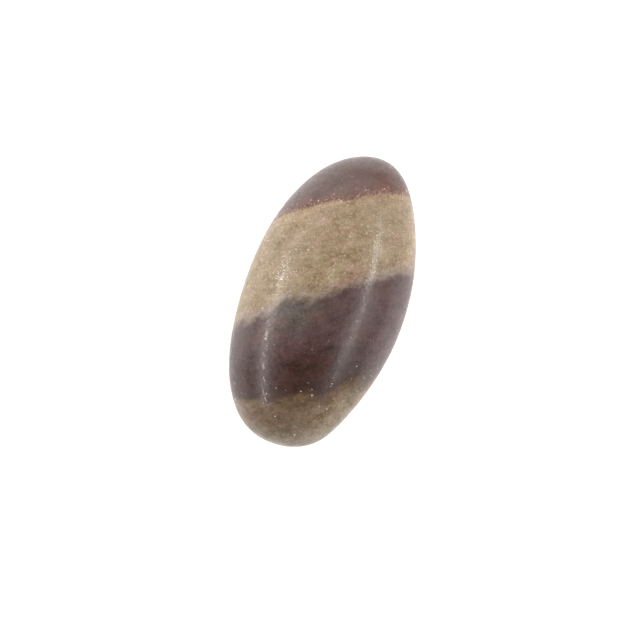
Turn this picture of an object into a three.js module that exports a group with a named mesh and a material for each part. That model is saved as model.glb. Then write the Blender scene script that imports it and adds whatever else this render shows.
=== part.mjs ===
// A shiva lingam: one banded river stone, worn and hand-rubbed into a long egg, lying on its side.
// Millimetres, +Z up. The origin is on the face that the stone rests on, under the middle of its
// outline; +X runs along the stone to its slender, dark-capped end.
import * as THREE from 'three';
import { mergeVertices } from 'three/addons/utils/BufferGeometryUtils.js';

// Driving dimensions.
const LENGTH = 50;          // along X
const WIDTH = 26.8;         // along Y
const THICKNESS = 24;       // along Z, from the resting face to the crown
const REST_WEAR = 0.2;      // height rubbed off the underside, which leaves the resting face

// The worn form. Fullness is the exponent of the lengthwise outline: 2 is an ellipse, more is
// squarer. It runs evenly from one end to the other.
const BLUNT_FULLNESS = 2.27;
const SLENDER_FULLNESS = 1.93;
const TIP_LEAN = 0.5;       // how far the slender tip leans towards -Y

// Places where the stone is rubbed flatter, or left a little fuller where the sign is negative:
// turn is the angle from +X about +Z, spread the width of the place as seen from the middle, both
// in degrees, and rub the share of the radius that is gone there.
const WORN_PLACES = [
  { turn: 5, spread: 25, rub: 0.025 },
  { turn: -50, spread: 30, rub: 0.046 },
  { turn: -125, spread: 20, rub: 0.032 },
  { turn: -148, spread: 10, rub: -0.008 },
];

const FACET_DETAIL = 15;    // splits of each icosahedron edge, giving 5,120 facets
const STONE_COLOUR = 0x8c7466;

// The share of the radius that is left in the given direction.
function wornShare(direction) {
  let share = 1;
  for (const { turn, spread, rub } of WORN_PLACES) {
    const angle = THREE.MathUtils.degToRad(turn);
    const alignment = direction.x * Math.cos(angle) + direction.y * Math.sin(angle);
    const reach = 1 - Math.cos(THREE.MathUtils.degToRad(spread));
    share -= rub * Math.exp((alignment - 1) / reach);
  }
  return share;
}

// The surface point in the given unit direction, before the form is brought to size.
function surfacePoint(direction) {
  const girth = Math.hypot(direction.y, direction.z);
  const middle = (SLENDER_FULLNESS + BLUNT_FULLNESS) / 2;
  const fullness = middle + (SLENDER_FULLNESS - BLUNT_FULLNESS) / 2 * direction.x;
  const reach = (Math.abs(direction.x) ** fullness + girth ** fullness) ** (-1 / fullness);
  const point = direction.clone().multiplyScalar(reach);
  point.multiply(new THREE.Vector3(LENGTH / 2, WIDTH / 2, THICKNESS / 2));
  point.y -= TIP_LEAN * Math.max(0, direction.x) ** 3;
  return point.multiplyScalar(wornShare(direction));
}

// Brings the form to its exact size, with its underside REST_WEAR below the resting face, and then
// rubs that much off.
function bringToSize(geometry) {
  geometry.computeBoundingBox();
  const { min, max } = geometry.boundingBox;
  const size = new THREE.Vector3().subVectors(max, min);
  geometry.translate(-(min.x + max.x) / 2, -(min.y + max.y) / 2, -min.z);
  geometry.scale(LENGTH / size.x, WIDTH / size.y, (THICKNESS + REST_WEAR) / size.z);
  geometry.translate(0, 0, -REST_WEAR);
  const positions = geometry.getAttribute('position');
  for (let i = 0; i < positions.count; i += 1) {
    positions.setZ(i, Math.max(0, positions.getZ(i)));
  }
}

function makeStone() {
  const rough = new THREE.IcosahedronGeometry(1, FACET_DETAIL);
  rough.deleteAttribute('normal');
  rough.deleteAttribute('uv');
  const geometry = mergeVertices(rough);
  const positions = geometry.getAttribute('position');
  for (let i = 0; i < positions.count; i += 1) {
    const direction = new THREE.Vector3().fromBufferAttribute(positions, i).normalize();
    positions.setXYZ(i, ...surfacePoint(direction));
  }
  bringToSize(geometry);
  geometry.computeVertexNormals();
  const material = new THREE.MeshStandardMaterial({
    color: STONE_COLOUR,
    roughness: 0.4,
    metalness: 0,
  });
  const stone = new THREE.Mesh(geometry, material);
  stone.name = 'stone';
  return stone;
}

const lingam = new THREE.Group();
lingam.add(makeStone());

export default lingam;
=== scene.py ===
"""A shiva lingam: one banded river stone, worn and hand-rubbed into a long egg, lying on its side.

Laid out as an add-on and run as a script. Lengths in the settings are in metres; the patterns in
the stone are worked out in millimetres. +X runs along the stone to its slender, dark-capped end.
"""

import math

import bpy
from mathutils import Matrix, Vector


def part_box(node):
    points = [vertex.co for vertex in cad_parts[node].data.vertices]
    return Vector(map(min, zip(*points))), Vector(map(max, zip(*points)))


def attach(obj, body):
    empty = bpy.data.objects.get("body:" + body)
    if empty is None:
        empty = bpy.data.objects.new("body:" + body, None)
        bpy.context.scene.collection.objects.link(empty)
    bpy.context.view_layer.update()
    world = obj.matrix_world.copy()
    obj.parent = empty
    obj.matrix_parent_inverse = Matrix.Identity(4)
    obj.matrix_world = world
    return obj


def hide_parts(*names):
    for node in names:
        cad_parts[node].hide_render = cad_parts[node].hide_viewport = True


bl_info = {
    "name": "Banded River Stone",
    "version": (1, 0, 0),
    "blender": (4, 5, 0),
    "location": "3D View > Sidebar > River Stone",
    "description": "Makes a hand-rubbed, banded shiva lingam stone and a pale stage for it",
    "category": "Add Mesh",
}

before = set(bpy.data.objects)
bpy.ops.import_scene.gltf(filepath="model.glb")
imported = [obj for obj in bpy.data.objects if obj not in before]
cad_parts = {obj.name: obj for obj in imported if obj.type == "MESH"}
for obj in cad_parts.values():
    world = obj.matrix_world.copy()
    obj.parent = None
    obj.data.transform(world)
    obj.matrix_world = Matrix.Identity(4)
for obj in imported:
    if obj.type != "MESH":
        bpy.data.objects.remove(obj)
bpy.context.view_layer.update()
STONE_NODE = "stone"
STONE_LOW, STONE_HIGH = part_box(STONE_NODE)
STONE_SIZE = STONE_HIGH - STONE_LOW
MM = 0.001


# ---------------------------------------------------------------------------------------------
# Small helpers


def srgb(red, green, blue):
    """A colour given as 0 to 255 display values, in the linear values that Blender works in."""

    def linear(value):
        share = value / 255
        return share / 12.92 if share <= 0.04045 else ((share + 0.055) / 1.055) ** 2.4

    return (linear(red), linear(green), linear(blue), 1.0)


def is_vector(term):
    """Whether a term of an expression is a vector: a tuple, or a wire that carries one."""
    return isinstance(term, tuple) or (isinstance(term, Wire) and term.socket.type == "VECTOR")


class Wire:
    """An output socket of a node tree, with the arithmetic that Python operators add to it."""

    def __init__(self, board, socket):
        self.board = board
        self.socket = socket

    def beside(self, name):
        """The wire from another output of the same node."""
        return Wire(self.board, self.socket.node.outputs[name])

    def _maths(self, operation, *terms):
        if any(is_vector(term) for term in terms):
            return self.board.vector_maths(operation, *terms)
        return self.board.maths(operation, *terms)

    def __add__(self, other):
        return self._maths("ADD", self, other)

    def __radd__(self, other):
        return self._maths("ADD", other, self)

    def __sub__(self, other):
        return self._maths("SUBTRACT", self, other)

    def __rsub__(self, other):
        return self._maths("SUBTRACT", other, self)

    def __mul__(self, other):
        return self._maths("MULTIPLY", self, other)

    def __rmul__(self, other):
        return self._maths("MULTIPLY", other, self)

    def __truediv__(self, other):
        return self._maths("DIVIDE", self, other)

    def __rtruediv__(self, other):
        return self._maths("DIVIDE", other, self)

    def __pow__(self, other):
        return self._maths("POWER", self, other)

    def __neg__(self):
        return self._maths("MULTIPLY", self, -1.0)

    def __abs__(self):
        return self._maths("ABSOLUTE", self)


class Board:
    """A node tree that is being wired up."""

    def __init__(self, tree):
        self.tree = tree
        self.tree.nodes.clear()

    def add(self, kind, settings=None, values=None, out=0):
        """Adds a node, sets its settings first, then its sockets, and returns one output's wire."""
        node = self.tree.nodes.new(kind)
        for name, setting in (settings or {}).items():
            setattr(node, name, setting)
        for key, value in (values or {}).items():
            self.plug(node.inputs[key], value)
        return Wire(self, node.outputs[out]) if len(node.outputs) else None

    def plug(self, socket, value):
        """Links a wire to a socket, or sets the socket's own value."""
        if isinstance(value, Wire):
            self.tree.links.new(value.socket, socket)
        elif socket.type == "VECTOR" and isinstance(value, (int, float)):
            socket.default_value = (value, value, value)
        else:
            socket.default_value = value

    def maths(self, operation, *terms):
        """Arithmetic on values, for what has no Python operator, such as MAXIMUM."""
        return self.add("ShaderNodeMath", {"operation": operation}, dict(enumerate(terms)))

    def vector_maths(self, operation, *terms, out="Vector"):
        """Arithmetic on vectors and colours, such as NORMALIZE."""
        settings = {"operation": operation}
        return self.add("ShaderNodeVectorMath", settings, dict(enumerate(terms)), out=out)

    def dot(self, first, second):
        """The dot product of two vectors."""
        return self.vector_maths("DOT_PRODUCT", first, second, out="Value")

    def mix(self, share, first, second, blend="MIX"):
        """Mixes two colours: all of the first where share is 0, all of the second where it is 1."""
        settings = {"data_type": "RGBA", "blend_type": blend, "clamp_factor": True}
        # The node's sockets share their names, so they go by number: 6 and 7 are its colours.
        return self.add("ShaderNodeMix", settings, {0: share, 6: first, 7: second}, out=2)

    def smooth_step(self, value, low, high):
        """Rises gently from 0 where value is low to 1 where it is high."""
        settings = {"interpolation_type": "SMOOTHSTEP"}
        values = {"Value": value, "From Min": low, "From Max": high}
        return self.add("ShaderNodeMapRange", settings, values)

    def hump(self, value, centre, width):
        """A bell-shaped rise of height 1 where value is at centre."""
        distance = (value - centre) / width
        return self.maths("EXPONENT", -(distance * distance))

    def noise(self, place, per_mm, detail=1.0, roughness=0.5, offset=0.0):
        """Soft noise from about -1 to 1, with per_mm lumps in a millimetre."""
        values = {
            "Vector": place + offset if offset else place,
            "Scale": per_mm,
            "Detail": detail,
            "Roughness": roughness,
        }
        return self.add("ShaderNodeTexNoise", {}, values) * 2.0 - 1.0

    def grains(self, place, per_mm):
        """Packed round grains, with a random colour for each: the wire from each one's colour."""
        values = {"Vector": place, "Scale": per_mm}
        return self.add("ShaderNodeTexVoronoi", {"feature": "F1"}, values, out="Color")

    def parts_of(self, vector):
        """The X, Y and Z wires of a vector."""
        x = self.add("ShaderNodeSeparateXYZ", {}, {"Vector": vector})
        return x, x.beside("Y"), x.beside("Z")

    def colour_parts(self, colour):
        """The red, green and blue wires of a colour."""
        red = self.add("ShaderNodeSeparateColor", {}, {"Color": colour})
        return red, red.beside("Green"), red.beside("Blue")

    def join(self, x, y, z):
        """A vector from its three parts."""
        return self.add("ShaderNodeCombineXYZ", {}, {"X": x, "Y": y, "Z": z})


# ---------------------------------------------------------------------------------------------
# Settings that a user would change


def length_setting(name, description, default):
    """A length, in metres."""
    return bpy.props.FloatProperty(
        name=name, description=description, default=default, unit="LENGTH"
    )


def colour_setting(name, description, red, green, blue):
    """A colour, with its default as 0 to 255 display values."""
    return bpy.props.FloatVectorProperty(
        name=name,
        description=description,
        subtype="COLOR",
        size=4,
        min=0.0,
        max=1.0,
        default=srgb(red, green, blue),
    )


class StoneShape(bpy.types.PropertyGroup):
    """The size and the worn form of the stone."""

    length: length_setting("Length", "Length along X", STONE_SIZE.x)
    width: length_setting("Width", "Width along Y", STONE_SIZE.y)
    thickness: length_setting(
        "Thickness", "Height from the resting face to the crown", STONE_SIZE.z
    )
    rest_wear: length_setting(
        "Resting wear",
        "Height rubbed off the underside, which leaves the resting face",
        0.2 * MM,
    )
    blunt_fullness: bpy.props.FloatProperty(
        name="Blunt end fullness",
        description="Squareness of the outline at the blunt end; 2 is an ellipse",
        default=2.27,
    )
    slender_fullness: bpy.props.FloatProperty(
        name="Slender end fullness",
        description="Squareness of the outline at the slender end; 2 is an ellipse",
        default=1.93,
    )
    tip_lean: length_setting("Tip lean", "How far the slender tip leans towards -Y", 0.5 * MM)
    undulation: length_setting(
        "Undulation",
        "Height of the broad, barely visible waves that rubbing by hand leaves",
        0.05 * MM,
    )
    mesh_side: bpy.props.IntProperty(
        name="Mesh side",
        description="Points along each edge of the mesh's six faces",
        default=128,
        min=2,
    )


class StoneColours(bpy.types.PropertyGroup):
    """The colours of the stone's layers."""

    purple: colour_setting("Purple", "The broad dark layer", 91, 69, 67)
    purple_deep: colour_setting(
        "Deep purple", "The darkest part of the broad dark layer, by the blunt end", 67, 41, 34
    )
    grey: colour_setting(
        "Grey", "The greenish grey cloud at the top of the broad dark layer", 107, 99, 92
    )
    cap: colour_setting("Cap", "The dark layer on the slender end", 98, 69, 61)
    rust: colour_setting(
        "Rust", "The iron-stained fringe where the cap meets the tan layer", 122, 77, 58
    )
    tan: colour_setting("Tan", "The broad sandy layer", 164, 141, 112)
    tan_end: colour_setting("End tan", "The browner sandy layer on the blunt end", 107, 81, 54)


class StudioSetup(bpy.types.PropertyGroup):
    """The stage, lights and camera."""

    seen_width: length_setting(
        "Seen width", "How much the view takes in at the stone's mid height", 105.36 * MM
    )
    lens: bpy.props.FloatProperty(
        name="Lens",
        description="Focal length of the camera",
        default=85.0,
        subtype="DISTANCE_CAMERA",
    )
    turn: bpy.props.FloatProperty(
        name="Turn",
        description="How far the stone is turned clockwise from upright in the view",
        default=math.radians(20.57),
        subtype="ANGLE",
    )
    right_of_middle: length_setting(
        "Right of the middle", "How far the stone lies right of the view's middle", 0.76 * MM
    )
    above_middle: length_setting(
        "Above the middle", "How far the stone lies above the view's middle", 3.25 * MM
    )
    left_power: bpy.props.FloatProperty(
        name="Left strip", description="Power of the left strip light", default=1.4, unit="POWER"
    )
    right_power: bpy.props.FloatProperty(
        name="Right strip", description="Power of the right strip light", default=1.35, unit="POWER"
    )
    room_light: bpy.props.FloatProperty(
        name="Room light", description="Strength of the soft light from all round", default=1.13
    )
    floor_glow: bpy.props.FloatProperty(
        name="Floor glow",
        description="Light that the floor gives of its own, which keeps it plain white",
        default=0.54,
    )


# ---------------------------------------------------------------------------------------------
# The stone's form

# Places where the stone is rubbed flatter, or left a little fuller where the sign is negative:
# the angle from +X about +Z and the width of the place as seen from the middle, both in degrees,
# and the share of the radius that is gone there.
WORN_PLACES = [
    (5, 25, 0.025),
    (-50, 30, 0.046),
    (-125, 20, 0.032),
    (-148, 10, -0.008),
]
# The named inputs of the Geometry Nodes tree, and the setting that each one takes.
TREE_INPUTS = {
    "Length": "length",
    "Width": "width",
    "Thickness": "thickness",
    "Rest Wear": "rest_wear",
    "Blunt Fullness": "blunt_fullness",
    "Slender Fullness": "slender_fullness",
    "Tip Lean": "tip_lean",
    "Undulation": "undulation",
    "Mesh Side": "mesh_side",
}


def worn_share(board, direction):
    """The share of the radius that is left in each direction."""
    x, y, _ = board.parts_of(direction)
    share = 1.0
    for turn, spread, rub in WORN_PLACES:
        angle = math.radians(turn)
        alignment = x * math.cos(angle) + y * math.sin(angle)
        reach = 1 - math.cos(math.radians(spread))
        share = share - board.maths("EXPONENT", (alignment - 1.0) / reach) * rub
    return share


def worn_form(board, direction, size):
    """The surface point in each direction, before the form is brought to its exact size."""
    x, y, z = board.parts_of(direction)
    girth = (y * y + z * z) ** 0.5
    middle = (size["Slender Fullness"] + size["Blunt Fullness"]) * 0.5
    fullness = middle + (size["Slender Fullness"] - size["Blunt Fullness"]) * 0.5 * x
    reach = (abs(x) ** fullness + girth**fullness) ** (-1.0 / fullness)
    along = x * reach * size["Length"] * 0.5
    across = y * reach * size["Width"] * 0.5
    up = z * reach * size["Thickness"] * 0.5
    across = across - board.maths("MAXIMUM", x, 0.0) ** 3.0 * size["Tip Lean"]
    return board.join(along, across, up) * worn_share(board, direction)


def brought_to_size(board, geometry, size):
    """Scales the form to its exact size and rubs the resting face off its underside."""
    low = board.add("GeometryNodeBoundBox", {}, {"Geometry": geometry}, out="Min")
    high = low.beside("Max")
    thickness = size["Thickness"] + size["Rest Wear"]
    wanted = board.join(size["Length"], size["Width"], thickness)
    place = board.add("GeometryNodeInputPosition")
    centred = (place - (low + high) * 0.5) / (high - low) * wanted
    x, y, z = board.parts_of(centred)
    z = z + thickness * 0.5 - size["Rest Wear"]
    rubbed = board.maths("SMOOTH_MAX", z, 0.0, size["Rest Wear"] * 0.5)
    values = {"Geometry": geometry, "Position": board.join(x, y, rubbed)}
    return board.add("GeometryNodeSetPosition", {}, values)


def hand_rubbed(board, geometry, size):
    """Adds the broad waves and fine unevenness of a surface rubbed by hand, above the rest."""
    place = board.add("GeometryNodeInputPosition") / MM
    _, _, height = board.parts_of(place)
    waves = board.noise(place, 0.13, offset=7.0)
    ripples = board.noise(place, 0.7, offset=3.0)
    fine = board.noise(place, 2.1)
    rise = waves + ripples * 0.12 + fine * 0.04
    rise = rise * size["Undulation"] * board.smooth_step(height, 0.2, 3.0)
    offset = board.add("GeometryNodeInputNormal") * rise
    return board.add("GeometryNodeSetPosition", {}, {"Geometry": geometry, "Offset": offset})


def form_tree(material):
    """The Geometry Nodes tree that makes the stone from a cube, with its sizes as named inputs."""
    tree = bpy.data.node_groups.new("rubbed_river_stone", "GeometryNodeTree")
    board = Board(tree)
    for name in TREE_INPUTS:
        kind = "NodeSocketInt" if name == "Mesh Side" else "NodeSocketFloat"
        tree.interface.new_socket(name, in_out="INPUT", socket_type=kind)
    tree.interface.new_socket("Geometry", in_out="OUTPUT", socket_type="NodeSocketGeometry")

    inlet = board.add("NodeGroupInput")
    size = {name: inlet.beside(name) for name in TREE_INPUTS}
    side = size["Mesh Side"]
    values = {"Vertices X": side, "Vertices Y": side, "Vertices Z": side}
    cube = board.add("GeometryNodeMeshCube", {}, {"Size": (2.0, 2.0, 2.0), **values})
    # The tangent spaces the cube's points evenly once they are turned into directions.
    place = board.add("GeometryNodeInputPosition") * (math.pi / 4)
    direction = board.vector_maths("NORMALIZE", board.vector_maths("TANGENT", place))
    values = {"Geometry": cube, "Position": worn_form(board, direction, size)}
    form = board.add("GeometryNodeSetPosition", {}, values)
    form = brought_to_size(board, form, size)
    form = hand_rubbed(board, form, size)
    form = board.add("GeometryNodeSetShadeSmooth", {}, {"Geometry": form})
    form = board.add("GeometryNodeRealizeInstances", {}, {"Geometry": form})
    form = board.add("GeometryNodeSetMaterial", {}, {"Geometry": form, "Material": material})
    board.add("NodeGroupOutput", {}, {"Geometry": form})
    return tree


def made_by_tree(name, tree, settings):
    """Runs a Geometry Nodes tree and returns an object that holds the plain mesh it makes."""
    piece = bpy.data.objects.new(name, bpy.data.meshes.new(name + "_start"))
    bpy.context.scene.collection.objects.link(piece)
    modifier = piece.modifiers.new("form", "NODES")
    modifier.node_group = tree
    for item in tree.interface.items_tree:
        if item.in_out == "INPUT":
            modifier[item.identifier] = getattr(settings, TREE_INPUTS[item.name])
    bpy.context.view_layer.update()
    evaluated = piece.evaluated_get(bpy.context.evaluated_depsgraph_get())
    mesh = bpy.data.meshes.new_from_object(evaluated)
    mesh.name = name
    piece.modifiers.remove(modifier)
    piece.data = mesh
    return piece


# ---------------------------------------------------------------------------------------------
# The stone's layers

# Each contact between layers is a bedding plane: X where it crosses the stone's axis at mid
# height, and how X changes with Y and with height, in millimetres. Its swells are places where it
# bulges towards the slender end, or away from it where the height is negative: Y of the place,
# its width and its height.
CAP_CONTACT = {
    "plane": (15.9, -0.586, 0.18),
    "swells": [(2.1, 1.3, -0.5), (-2.9, 1.3, 0.3)],
}
MIDDLE_CONTACT = {
    "plane": (-0.8, -0.773, 0.14),
    "swells": [
        (11.4, 1.0, 1.05),
        (8.8, 0.9, 0.5),
        (5.85, 1.2, 1.95),
        (3.6, 0.9, 1.0),
        (1.8, 0.8, -0.45),
        (-3.2, 1.2, 0.3),
        (-6.4, 1.5, 0.35),
        (-11.0, 2.0, 0.5),
    ],
}
END_CONTACT = {
    "plane": (-15.3, -0.53, -0.12),
    "swells": [
        (-5.2, 1.2, -0.8),
        (-8.8, 1.8, 1.3),
        (2.7, 1.0, -0.7),
        (-2.2, 1.2, 0.4),
        (6.0, 2.0, -0.4),
    ],
}
# The direction across the bedding, as a unit vector, and how much patches are squeezed along it.
BEDDING = tuple(Vector((1.0, 0.68, -0.14)).normalized())
BEDDING_SQUEEZE = 0.7
# Grains in a millimetre: of sand, of coarser sand, of quartz specks and of small flat faces.
FINE_PER_MM = 4.6
COARSE_PER_MM = 2.2
SPECKS_PER_MM = 2.6
FACETS_PER_MM = 3.2
# Each grain draws a number from 0 to 1. These are the draws from which it starts to be a kind of
# its own and is wholly so: sand strewn into the cap, pepper, painted glints, faint specks and
# large specks. Beside a contact a glint's draw is raised.
STREWN_DRAW = (0.68, 0.74)
PEPPER_DRAW = (0.94, 0.99)
GLINT_DRAW = (0.97, 1.05)
FAINT_SPECK_DRAW = (0.95, 0.98)
LARGE_DRAW = (0.994, 0.998)
# How far from its middle a grain of each kind has faded out and is still full, in millimetres.
PEPPER_REACH = (0.18, 0.08)
LARGE_REACH = (0.18, 0.1)
# Places on the stone: X and Y of the middle, half the length and half the width in millimetres,
# and how strong the effect is there. Handling has polished the first one smooth. In the sparkle
# ones each grain has a polished face of its own, and the colour there is also painted paler,
# more speckled and with more glints: a painted highlight. Then come a paler one, and one in
# which large specks are more common.
POLISHED_PLACE = (7.2, -5.4, 3.2, 2.6, 0.8)
SPARKLE_AND_GLOW_PLACES = [(1.3, 8.4, 4.3, 2.4, 1.0), (12.3, -4.2, 2.3, 2.1, 0.75)]
PALE_PLACE = (4.7, -0.1, 2.0, 1.7, 0.42)
SPECKED_PLACE = (6.0, 6.0, 8.0, 4.5, 0.012)


class Grains:
    """Packed round grains: three random numbers for each, and the distance from its middle."""

    def __init__(self, board, place, per_mm):
        colour = board.grains(place, per_mm)
        self.first, self.second, self.third = board.colour_parts(colour)
        self.distance = colour.beside("Distance") / per_mm


def tilted_faces(board, place, per_mm):
    """The height of small flat grains that each tilt their own way, for a tilt of up to 1 in 2."""
    colour = board.grains(place, per_mm)
    return board.dot(colour - (0.5, 0.5, 0.5), place - colour.beside("Position"))


class Pattern:
    """The noises, the grains and the distances past the contacts, which every layer shares."""

    def __init__(self, board):
        self.board = board
        place = board.add("ShaderNodeTexCoord", out="Object") / MM
        self.x, self.y, self.z = board.parts_of(place)
        squeeze = tuple(BEDDING_SQUEEZE * part for part in BEDDING)
        bedded = place + board.dot(place, BEDDING) * squeeze

        # Soft noise of several sizes, named by the width of its lumps in millimetres.
        self.five = board.noise(bedded, 0.18, offset=71.0)
        self.three = board.noise(bedded, 0.3, offset=23.0)
        self.two = board.noise(bedded, 0.6, offset=5.0)
        self.one = board.noise(place, 1.2, offset=31.0)
        self.half = board.noise(place, 2.4, offset=17.0)
        self.quarter = board.noise(place, 4.0, offset=41.0)

        # Rougher noise, for wisps, for stains and for the curls that fibres follow.
        self.wool = board.noise(bedded, 0.45, detail=5.0, roughness=0.65, offset=53.0)
        self.stain = board.noise(bedded, 0.35, detail=4.0, roughness=0.6, offset=67.0)
        self.curls = board.noise(bedded, 0.9, detail=2.0, roughness=0.6, offset=79.0)
        self.pale_curls = board.noise(bedded, 0.8, detail=2.0, roughness=0.6, offset=83.0)

        self.fine = Grains(board, place, FINE_PER_MM)
        self.coarse = Grains(board, place + self.half * 0.12, COARSE_PER_MM)
        self.speck = Grains(board, place, SPECKS_PER_MM)
        self.facets = tilted_faces(board, place, FACETS_PER_MM)
        dark = board.smooth_step(self.coarse.first, *PEPPER_DRAW)
        self.pepper = dark * board.smooth_step(self.coarse.distance, *PEPPER_REACH)

        waver = self.two * 0.1 + self.half * 0.3 + self.quarter * 0.3
        self.past_cap = self.past_contact(CAP_CONTACT, waver)
        waver = self.two * 0.3 + self.half * 0.3
        self.past_middle = self.past_contact(MIDDLE_CONTACT, waver)
        waver = self.two * 0.3 + self.half * 0.4
        self.past_end = self.past_contact(END_CONTACT, waver)

        self.handled = self.within(POLISHED_PLACE)
        self.sparkle_and_painted_glow = sum(self.within(sparkle) for sparkle in SPARKLE_AND_GLOW_PLACES)

    def past_contact(self, contact, waver):
        """How far each point lies past a contact towards the slender end, in millimetres."""
        at, per_y, per_z = contact["plane"]
        middle_height = STONE_SIZE.z / MM / 2
        edge = at + self.y * per_y + (self.z - middle_height) * per_z + waver
        for centre, width, height in contact["swells"]:
            edge = edge + self.board.hump(self.y, centre, width) * height
        return self.x - edge

    def within(self, place):
        """A place's strength at its middle, which fades to 0 away from it."""
        x, y, half_length, half_width, strength = place
        nearness = self.board.hump(self.x, x, half_length) * self.board.hump(self.y, y, half_width)
        return nearness * strength


class Layers:
    """How much of each point is in the cap, in the tan layer, above the end, and in any sand."""

    def __init__(self, board, pattern):
        past_cap, wool = pattern.past_cap, pattern.wool
        self.cap = board.smooth_step(past_cap, -0.25, 0.25)
        # Grains of sand are strewn a little way into the cap.
        strewn = board.smooth_step(pattern.fine.third, *STREWN_DRAW)
        strewn = strewn * board.smooth_step(past_cap, 1.5, 0.2)
        above_middle = board.smooth_step(pattern.past_middle + wool * 0.5, -1.2, 0.9)
        self.tan = above_middle * (1.0 - self.cap * (1.0 - strewn * 0.7))
        # The end's contact is blurred, and more so towards -Y.
        blur = board.smooth_step(pattern.y, -4.0, -9.0) * 1.2 + 0.7
        past_end = pattern.past_end + pattern.half * 0.3 + wool * 0.5
        self.above_end = board.smooth_step(past_end / blur, -1.0, 1.0)
        self.sandy = 1.0 - self.above_end * (1.0 - self.tan)


# ---------------------------------------------------------------------------------------------
# The stone's material. Its distances are in millimetres.

# Stains, fringes and specks in the layers, and the colours of painted rim light and painted glints.
SAND_PINK = srgb(170, 144, 120)
SAND_OLIVE = srgb(160, 142, 110)
SAND_OCHRE = srgb(172, 140, 106)
SAND_BLUSH = srgb(156, 122, 102)
# Painted rim light, on the tan's sides.
SAND_GREY = srgb(157, 140, 125)
SAND_RIM_LIGHT = srgb(180, 154, 122)
END_OCHRE = srgb(115, 99, 74)
END_PALE = srgb(140, 120, 92)
END_PINK = srgb(134, 114, 93)
END_RED = srgb(106, 68, 47)
END_OLIVE = srgb(90, 83, 61)
CAP_GREY = srgb(105, 85, 79)
IRON_BROWN = srgb(66, 41, 31)
DARK_FIBRE = srgb(112, 86, 58)
PALE_FIBRE_AND_GLOW = srgb(206, 188, 160)
PEPPER = srgb(96, 74, 46)
# Near white: pale quartz grains, which also serve as painted glints.
PALE_QUARTZ_AND_GLINT = srgb(240, 228, 214)
# What the dark layers' red, green and blue are multiplied by where they redden or cool.
REDDENED = (1.13, 0.97, 0.91, 1.0)
COOLED = (0.96, 1.0, 1.02, 1.0)
# How strongly a lighter or darker grain changes each of red, green and blue: a dark grain is
# browner than the stone around it, and a pale one whiter. On the blunt end both are added up.
GRAIN_TONE = (0.88, 1.0, 1.28)
END_TONE = (-0.02, 0.0, 0.25)
# The roughness of the cement between the grains, and how much less a polished grain has.
SATIN_ROUGHNESS = 0.34
POLISH = 0.19
COAT_ROUGHNESS = 0.2
# The depth of the pit at each grain of pepper, in millimetres.
PEPPER_PIT = 0.01


def sandy_colour(board, pattern, colours):
    """The broad tan layer: pink and olive patches, an ochre margin above and a grey one below, and
    painted rim light along both its sides.
    """
    stain, past_middle = pattern.stain, pattern.past_middle
    tan = board.mix(board.smooth_step(stain, 0.0, 0.4), colours.tan[:], SAND_PINK)
    tan = board.mix(board.smooth_step(-stain, 0.0, 0.4), tan, SAND_OLIVE)
    tan = board.mix(board.hump(pattern.past_cap, -0.2, 1.2) * 0.6, tan, SAND_OCHRE)
    # Both sides are painted paler towards the slender end: painted rim light.
    rim_lit_flanks = board.smooth_step(pattern.y, 4.5, 9.0) + board.smooth_step(pattern.y, -7.0, -11.0)
    tan = board.mix(rim_lit_flanks * board.smooth_step(pattern.x, 6.0, 12.0) * 0.8, tan, SAND_RIM_LIGHT)
    tan = board.mix(board.smooth_step(past_middle, 2.6, 0.4), tan, SAND_GREY)
    tan = board.mix(pattern.within(PALE_PLACE), tan, PALE_FIBRE_AND_GLOW)
    blushing = board.hump(pattern.y, -2.6, 2.2) + board.hump(pattern.y, -12.0, 2.5)
    blush = board.hump(past_middle, 1.3, 1.4) * blushing * (0.8 + stain)
    return board.mix(blush, tan, SAND_BLUSH)


def end_colour(board, pattern, colours):
    """The browner sandy layer on the blunt end, with red and olive stains."""
    y, past_end = pattern.y, pattern.past_end
    end = board.mix(board.smooth_step(past_end, -8.0, -3.0), END_OCHRE, colours.tan_end[:])
    pale = board.smooth_step(y, -2.0, -8.0) * board.smooth_step(past_end, -0.5, -3.5)
    pale = pale * (board.smooth_step(past_end, -11.0, -7.0) * 0.6 + 0.3)
    end = board.mix(pale, end, END_PALE)
    end = board.mix(board.smooth_step(y, 2.0, 7.0) * 0.8, end, END_PINK)
    rusty = board.hump(y, 2.5, 4.0) * board.hump(past_end, -3.0, 3.0) * 0.6
    mottle = pattern.curls * 0.5 + pattern.stain * 0.6
    end = board.mix(board.smooth_step(mottle, -0.1, 0.5) * (0.4 + rusty), end, END_RED)
    return board.mix(board.smooth_step(-mottle, 0.0, 0.5) * 0.4, end, END_OLIVE)


def purple_colour(board, pattern, colours):
    """The broad purple layer, with a grey cloud at its top and a deep, iron-brown foot."""
    y, past_end = pattern.y, pattern.past_end
    depth = board.smooth_step(past_end, 12.0, 4.0) * board.smooth_step(y, -13.0, -5.0)
    purple = board.mix(depth, colours.purple[:], colours.purple_deep[:])
    cloud = board.hump(y, 3.7, 4.2) * board.hump(pattern.past_middle, -2.5, 2.9)
    purple = board.mix(cloud * (0.87 - pattern.wool * 0.6), purple, colours.grey[:])
    return board.mix(board.hump(past_end, 0.5, 1.4) * 0.75, purple, IRON_BROWN)


def cap_colour(board, pattern, colours):
    """The cap, greyer at its tip and on its +Y flank, with a rusty fringe along its contact."""
    y, past_cap = pattern.y, pattern.past_cap
    tip = board.smooth_step(past_cap, 3.0, 8.0) * 0.7
    greyed = board.maths("MAXIMUM", tip, board.smooth_step(y, 1.5, 6.0))
    cap = board.mix(greyed, colours.cap[:], CAP_GREY)
    fringe = board.hump(past_cap, 0.0, 0.8) * 0.5 + board.hump(past_cap, 0.6, 1.6) * 0.3
    broken = board.hump(y, 4.5, 2.5) * 0.6 + pattern.two * 0.8 + pattern.half * 0.4
    return board.mix(fringe * (1.0 + broken), cap, colours.rust[:])


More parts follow.
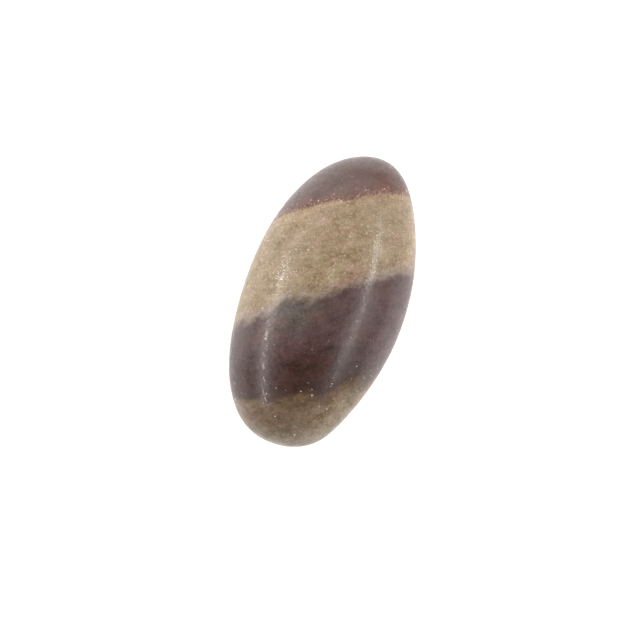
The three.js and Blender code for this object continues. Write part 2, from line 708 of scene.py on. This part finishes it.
def layered_colour(board, pattern, layers, colours):
    """The colours of the layers, each where it lies."""
    purple = purple_colour(board, pattern, colours)
    dark = board.mix(layers.cap, purple, cap_colour(board, pattern, colours))
    hue = pattern.five + pattern.three * 0.5
    dark = board.mix(board.smooth_step(hue, 0.0, 0.5), dark, REDDENED, blend="MULTIPLY")
    dark = board.mix(board.smooth_step(-hue, 0.0, 0.5), dark, COOLED, blend="MULTIPLY")
    colour = board.mix(layers.above_end, end_colour(board, pattern, colours), dark)
    return board.mix(layers.tan, colour, sandy_colour(board, pattern, colours))


def fibres(board, curls, where):
    """Thin lines that curl through the stone, where the last value is well above 0."""
    return board.smooth_step(abs(curls), 0.08, 0.02) * board.smooth_step(where, -0.1, 0.5)


def grained(board, pattern, layers, colour):
    """Makes soft patches and single grains lighter or darker, with fibres and dark pepper, and
    paints a pale highlight over the sparkle places.
    """
    two, three, half, tone = pattern.two, pattern.three, pattern.half, pattern.fine.first
    sandy, above_end, sparkle_and_painted_glow = layers.sandy, layers.above_end, pattern.sparkle_and_painted_glow
    patches = three * 0.2 + two * 0.14 + pattern.wool * 0.8
    # A power of each grain's random tone makes few grains pale and most dark. The power's mean is
    # taken off, so that they leave the layer's colour as it is on the whole.
    sand = half * 0.15 + pattern.quarter * 0.22 + (tone**5.0 - 0.17) * 0.52
    # Grains are painted with more contrast in the sparkle places, as part of the painted highlight.
    sand = sand * (1.0 + sparkle_and_painted_glow * 0.5)
    frost = half * 0.15 + (tone**3.0 - 0.25) * 0.42
    contrast = 1.4 - above_end * 0.4 - layers.cap * 0.25
    contrast = contrast + board.hump(pattern.past_end, 5.0, 5.0) * 0.5
    # The sandy layers are grained, and the dark ones only frosted.
    shade = (patches + frost + (sand - frost) * sandy) * contrast
    tint = 1.0 + shade * GRAIN_TONE + shade * (1.0 - above_end) * END_TONE
    colour = board.mix(1.0, colour, tint, blend="MULTIPLY")
    dark_fibre = fibres(board, pattern.curls, two + three)
    colour = board.mix(dark_fibre * sandy * 0.25, colour, DARK_FIBRE)
    pale_fibre = fibres(board, pattern.pale_curls, -two - three)
    colour = board.mix(pale_fibre * layers.tan * 0.4, colour, PALE_FIBRE_AND_GLOW)
    colour = board.mix(pattern.pepper * sandy * 0.45, colour, PEPPER)
    # The sparkle places are painted paler: a painted highlight over the grains.
    return board.mix(sparkle_and_painted_glow * 0.25, colour, PALE_FIBRE_AND_GLOW)


def specked(board, pattern, layers, colour):
    """Strews pale specks, partly quartz grains and partly painted glints: most beside the contacts,
    a few large ones, and faint ones.
    """
    speck = pattern.speck
    # Painted glints: pale grains painted near white, most beside the contacts, in place of the
    # glints of light on them.
    beside_end = board.hump(pattern.y, -8.5, 2.5) * 0.1 + 0.13
    beside = board.hump(pattern.past_cap, 0.95, 0.75) * 0.26
    beside = beside + board.hump(pattern.past_end, 1.3, 1.1) * beside_end
    clumped = 0.9 + pattern.two * 1.3 + pattern.one * 1.3
    # More glints are painted in the sparkle places: part of the painted highlight.
    draw = speck.second + beside * clumped + pattern.sparkle_and_painted_glow * 0.17
    glint = board.smooth_step(draw, *GLINT_DRAW) * 0.9
    # Faint pale specks, most in the cap: partly pale grains and partly painted glints.
    faint_specks_and_glints = board.smooth_step(speck.first, *FAINT_SPECK_DRAW) * (0.07 + layers.cap * 0.28)
    reach = 0.1 + speck.third * 0.06
    small = board.maths("MAXIMUM", glint, faint_specks_and_glints)
    small = small * board.smooth_step(speck.distance, reach, reach * 0.4)
    draw = speck.third + pattern.within(SPECKED_PLACE)
    large = board.smooth_step(draw, *LARGE_DRAW) * (0.15 + layers.sandy * 0.75)
    large = large * board.smooth_step(speck.distance, *LARGE_REACH)
    return board.mix(board.maths("MAXIMUM", small, large), colour, PALE_QUARTZ_AND_GLINT)


def rubbed_surface(board, pattern, layers, colour):
    """The rub: small flat grains take a polish, and the cement between them stays satin."""
    one, half, sandy = pattern.one, pattern.half, layers.sandy
    handled, sparkle_and_painted_glow = pattern.handled, pattern.sparkle_and_painted_glow
    clustered = board.smooth_step(one + half * 0.4, -0.05, 0.4)
    polished = pattern.coarse.second * 0.4 + clustered * 0.35 + pattern.two * 0.3
    polished = board.smooth_step(polished, 0.3, 0.65)
    polished = polished * (0.3 + board.smooth_step(pattern.y, -9.0, 0.0) * 0.7)
    polished = board.maths("MAXIMUM", polished, handled + sparkle_and_painted_glow * 0.9)
    coat = (0.13 - sandy * 0.05 + sparkle_and_painted_glow * 0.15) * (0.7 + clustered * 0.8 + half * 0.4)
    # Heights in millimetres: worn waves, pits and the tilted faces of grains.
    height = (half * 0.004 + one * 0.014) * (1.0 - handled * 0.4) - pattern.pepper * PEPPER_PIT
    tilt = 0.01 + clustered * 0.015 + sandy * 0.03 * (1.0 - handled) + sparkle_and_painted_glow * 0.16
    height = height + pattern.facets * tilt
    bump = board.add("ShaderNodeBump", {}, {"Strength": 1.0, "Distance": MM, "Height": height})
    values = {
        "Base Color": colour,
        "Roughness": SATIN_ROUGHNESS - polished * POLISH,
        "Normal": bump,
        "Specular IOR Level": 0.5,
        "Coat Weight": coat,
        "Coat Roughness": COAT_ROUGHNESS,
    }
    return board.add("ShaderNodeBsdfPrincipled", {}, values)


def stone_material(colours):
    """The banded stone: its layers, their grains and specks, and the satin rub over them."""
    material = bpy.data.materials.new("banded_stone_rubbed")
    material.use_nodes = True
    board = Board(material.node_tree)
    pattern = Pattern(board)
    layers = Layers(board, pattern)
    colour = layered_colour(board, pattern, layers, colours)
    colour = grained(board, pattern, layers, colour)
    colour = specked(board, pattern, layers, colour)
    surface = rubbed_surface(board, pattern, layers, colour)
    board.add("ShaderNodeOutputMaterial", {}, {"Surface": surface})
    return material


class LINGAM_OT_stone(bpy.types.Operator):
    """Make the banded stone"""

    bl_idname = "lingam.stone"
    bl_label = "Stone"

    def execute(self, context):
        material = stone_material(context.scene.lingam_colours)
        tree = form_tree(material)
        stone = made_by_tree("rubbed_stone", tree, context.scene.lingam_shape)
        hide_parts(STONE_NODE)
        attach(stone, "root")
        return {"FINISHED"}


# ---------------------------------------------------------------------------------------------
# The stage, lights and camera

# The strip lights, both STRIP_DISTANCE from the stone's middle: how far each leans from straight
# overhead, how much its axis dips towards the view's top, where its ends lie along that axis, and
# its width. Lengths are in metres.
STRIP_DISTANCE = 0.6
STRIP_COLOUR = (1.0, 0.95, 0.92)
LEFT_STRIP = {
    "from_upright": math.radians(61.2),
    "dip": 0.08,
    "low": -0.5,
    "high": 0.32,
    "width": 0.016,
}
RIGHT_STRIP = {
    "from_upright": math.radians(48.4),
    "dip": 0.11,
    "low": -0.5,
    "high": 0.22,
    "width": 0.038,
}
# The room light's share from straight overhead and from everywhere, and how much brighter it is
# beyond the view's top and bottom, at its top, and at its left.
OVERHEAD_LIGHT = 0.12
ROUND_LIGHT = 0.79
ENDS_LIGHT = 0.68
TOP_LIGHT = 0.43
LEFT_LIGHT = 0.1
# Half the floor's side, how far it lies under the resting face, and its shade.
FLOOR_HALF = 1.5
FLOOR_DROP = 0.01 * MM
FLOOR_WHITE = (0.9, 0.9, 0.9, 1.0)
WHITE = (1.0, 1.0, 1.0, 1.0)


def view_axes(turn):
    """The directions of the view's right and top edges, on the floor."""
    right = Vector((math.sin(turn), -math.cos(turn), 0))
    up = Vector((math.cos(turn), math.sin(turn), 0))
    return right, up


def make_floor(glow):
    """A wide, plain white floor just under the resting face."""
    corners = [
        (x * FLOOR_HALF, y * FLOOR_HALF, -FLOOR_DROP)
        for x, y in ((-1, -1), (1, -1), (1, 1), (-1, 1))
    ]
    mesh = bpy.data.meshes.new("pale_floor")
    mesh.from_pydata(corners, [], [(0, 1, 2, 3)])
    floor = bpy.data.objects.new("pale_floor", mesh)
    bpy.context.scene.collection.objects.link(floor)
    material = bpy.data.materials.new("matt_white_board")
    material.use_nodes = True
    shader = material.node_tree.nodes["Principled BSDF"]
    shader.inputs["Base Color"].default_value = FLOOR_WHITE
    shader.inputs["Roughness"].default_value = 0.9
    shader.inputs["Specular IOR Level"].default_value = 0.0
    shader.inputs["Emission Color"].default_value = WHITE
    shader.inputs["Emission Strength"].default_value = glow
    mesh.materials.append(material)


def make_room_light(up, brightness):
    """Soft light from all round, dim straight overhead and brighter towards the view's top."""
    world = bpy.data.worlds.new("soft_room")
    bpy.context.scene.world = world
    world.use_nodes = True
    board = Board(world.node_tree)
    direction = board.add("ShaderNodeTexCoord", out="Generated")
    x, y, z = board.parts_of(direction)
    towards_top = x * up.x + y * up.y
    towards_left = y * up.x - x * up.y
    # A ring of light round the room, brightest about 25 degrees up and dim at the horizon.
    ring = board.smooth_step(z, 0.86, 0.4) * (0.2 + board.smooth_step(z, 0.0, 0.45) * 0.92)
    sides = ROUND_LIGHT + towards_top * towards_top * ENDS_LIGHT
    lean = brightness + towards_top * TOP_LIGHT + towards_left * LEFT_LIGHT
    strength = (OVERHEAD_LIGHT + ring * sides) * lean
    # What lies past the floor is plain white to look at, and lights the stone as a dimmer room.
    seen = board.add("ShaderNodeLightPath", out="Is Camera Ray")
    strength = strength + (1.0 - strength) * seen
    background = board.add("ShaderNodeBackground", {}, {"Color": WHITE, "Strength": strength})
    board.add("ShaderNodeOutputWorld", {}, {"Surface": background})


def make_strip(name, strip, power, side, up):
    """A long strip light beside the stone, roughly parallel to the view's upright edges."""
    light = bpy.data.lights.new(name, "AREA")
    light.shape = "RECTANGLE"
    light.size = strip["width"]
    light.size_y = strip["high"] - strip["low"]
    light.energy = power
    light.color = STRIP_COLOUR
    lamp = bpy.data.objects.new(name, light)
    lamp.visible_camera = False
    bpy.context.scene.collection.objects.link(lamp)
    upright = Vector((0, 0, 1))
    towards = side * math.sin(strip["from_upright"]) + upright * math.cos(strip["from_upright"])
    along = up - upright * strip["dip"]
    along = (along - towards * along.dot(towards)).normalized()
    middle = upright * STONE_SIZE.z / 2
    lamp.location = middle + towards * STRIP_DISTANCE + along * (strip["low"] + strip["high"]) / 2
    axes = Matrix((along.cross(towards), along, towards))
    lamp.rotation_euler = axes.transposed().to_euler()


def make_camera(studio, right, up):
    """A camera straight above the stone, framed by the width that it takes in."""
    data = bpy.data.cameras.new("overhead_camera")
    data.lens = studio.lens
    camera = bpy.data.objects.new("overhead_camera", data)
    bpy.context.scene.collection.objects.link(camera)
    above = studio.seen_width * studio.lens / data.sensor_width
    middle = -right * studio.right_of_middle - up * studio.above_middle
    camera.location = middle + Vector((0, 0, STONE_SIZE.z / 2 + above))
    camera.rotation_euler = (0, 0, math.atan2(-up.x, up.y))
    bpy.context.scene.camera = camera


class LINGAM_OT_stage(bpy.types.Operator):
    """Make the floor, the lights and the camera"""

    bl_idname = "lingam.stage"
    bl_label = "Stage"

    def execute(self, context):
        studio = context.scene.lingam_studio
        right, up = view_axes(studio.turn)
        make_floor(studio.floor_glow)
        make_room_light(up, studio.room_light)
        make_strip("strip_left", LEFT_STRIP, studio.left_power, -right, up)
        make_strip("strip_right", RIGHT_STRIP, studio.right_power, right, up)
        make_camera(studio, right, up)
        context.scene.view_settings.view_transform = "Standard"
        return {"FINISHED"}


# ---------------------------------------------------------------------------------------------
# The panel, and running it all


class LINGAM_PT_panel(bpy.types.Panel):
    """The stone's buttons and settings"""

    bl_label = "River Stone"
    bl_idname = "LINGAM_PT_panel"
    bl_space_type = "VIEW_3D"
    bl_region_type = "UI"
    bl_category = "River Stone"

    def draw(self, context):
        for group in SETTINGS:
            settings = getattr(context.scene, group)
            box = self.layout.box()
            for name in settings.__annotations__:
                box.prop(settings, name)
        self.layout.operator(LINGAM_OT_stone.bl_idname)
        self.layout.operator(LINGAM_OT_stage.bl_idname)


SETTINGS = {
    "lingam_shape": StoneShape,
    "lingam_colours": StoneColours,
    "lingam_studio": StudioSetup,
}
CLASSES = (LINGAM_OT_stone, LINGAM_OT_stage, LINGAM_PT_panel)


def register():
    for name, group in SETTINGS.items():
        bpy.utils.register_class(group)
        setattr(bpy.types.Scene, name, bpy.props.PointerProperty(type=group))
    for kind in CLASSES:
        bpy.utils.register_class(kind)


def unregister():
    for kind in reversed(CLASSES):
        bpy.utils.unregister_class(kind)
    for name, group in SETTINGS.items():
        delattr(bpy.types.Scene, name)
        bpy.utils.unregister_class(group)


def main():
    register()
    bpy.ops.lingam.stone()
    bpy.ops.lingam.stage()


if __name__ == "__main__":
    main()
